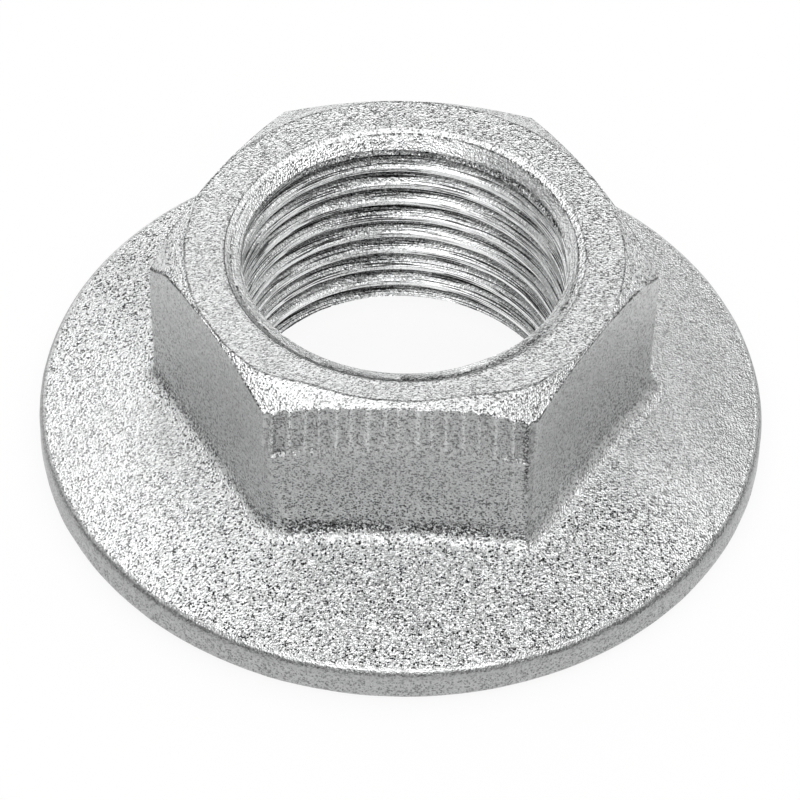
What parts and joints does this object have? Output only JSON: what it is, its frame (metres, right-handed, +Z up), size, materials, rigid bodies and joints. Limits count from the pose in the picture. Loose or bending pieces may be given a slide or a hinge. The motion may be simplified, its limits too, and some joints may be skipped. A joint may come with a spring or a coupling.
{
  "type": "hub nut",
  "caption": "Flanged hub nut: a hexagon with a chamfered crown forged in one piece with a wide round collar, around a coarse threaded hole.",
  "frame": {"origin": "on the thread axis, in the plane of the collar's bearing face", "axes": "+Z up the thread axis from the bearing face to the top face, -Y towards the flat with the jaw marks, X through two corners of the hexagon"},
  "size_m": [0.0471, 0.047, 0.0161],
  "materials": {
    "zinc_steel": "zinc plated over shot-blasted forged steel, matt, with a fine even grain"
  },
  "bodies": {
    "root": {"hub_nut": "zinc_steel"}
  },
  "joints": []
}
